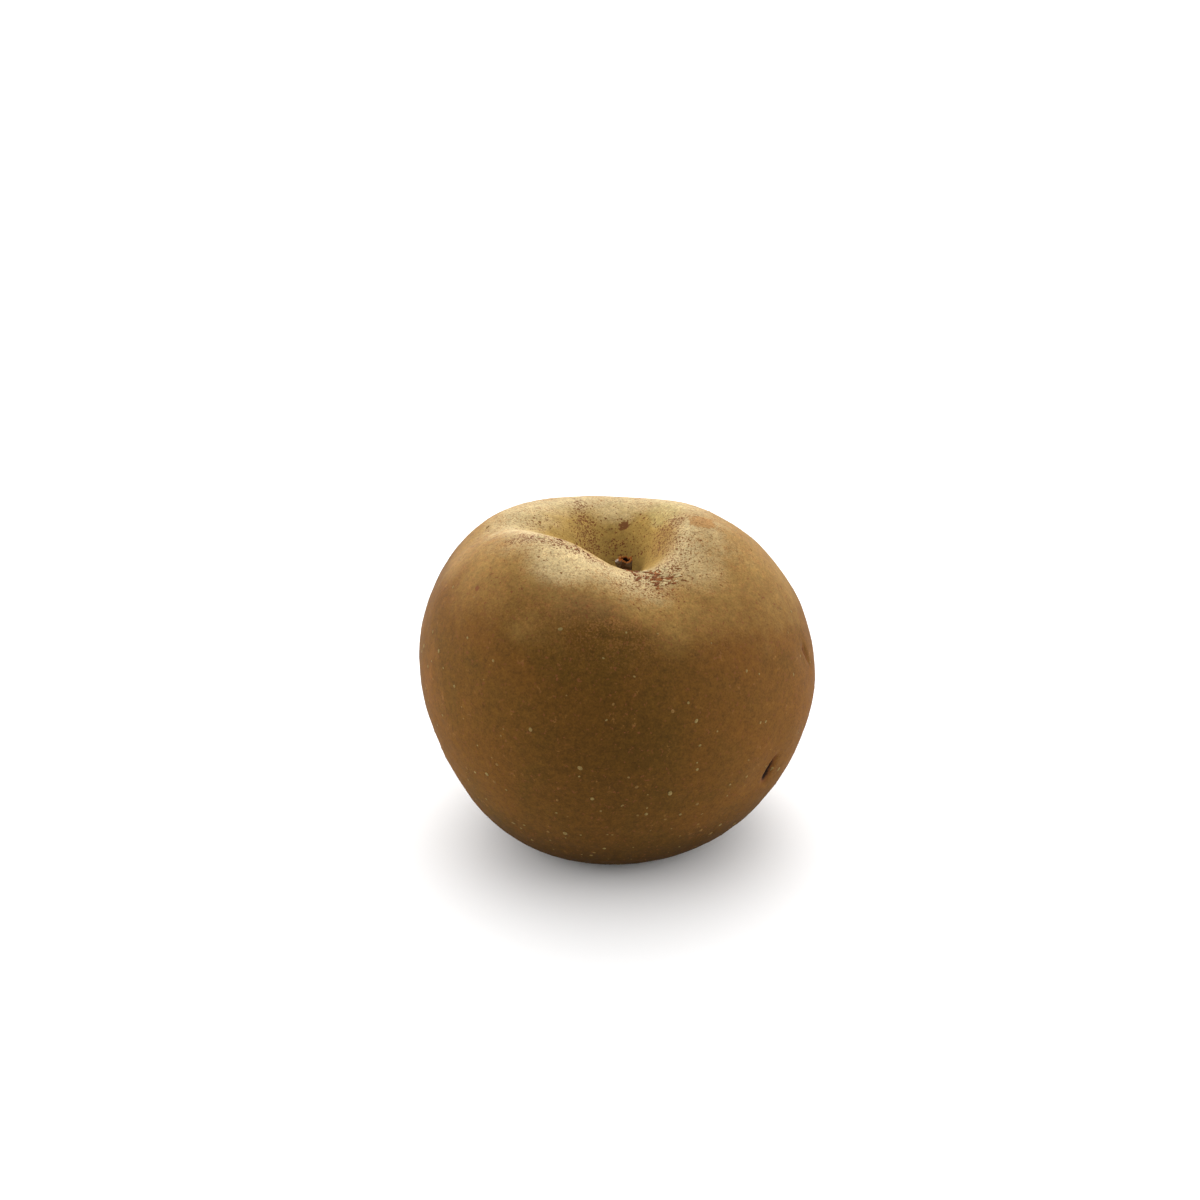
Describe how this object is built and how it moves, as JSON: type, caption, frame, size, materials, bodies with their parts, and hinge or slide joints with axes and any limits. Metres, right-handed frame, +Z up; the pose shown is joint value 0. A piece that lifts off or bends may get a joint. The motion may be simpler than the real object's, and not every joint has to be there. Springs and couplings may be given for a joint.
{
  "type": "apple",
  "caption": "Whole fresh apple with a matt bronze-brown russet skin, a lobed crown round a deep stem hollow with a short broken stem, and a dried calyx in the eye basin underneath.",
  "frame": {"origin": "on the surface the apple rests on, under the middle of its box", "axes": "+Z up, from the eye to the stem; -Y towards the low front rim of the crown; +X to the right of someone facing that rim"},
  "size_m": [0.0826, 0.0818, 0.069],
  "materials": {
    "russet_skin": "matte",
    "stem_bark": "matte",
    "dried_calyx": "matte"
  },
  "bodies": {
    "root": {"fruit": "russet_skin", "stem": "stem_bark", "calyx": "dried_calyx"}
  },
  "joints": []
}
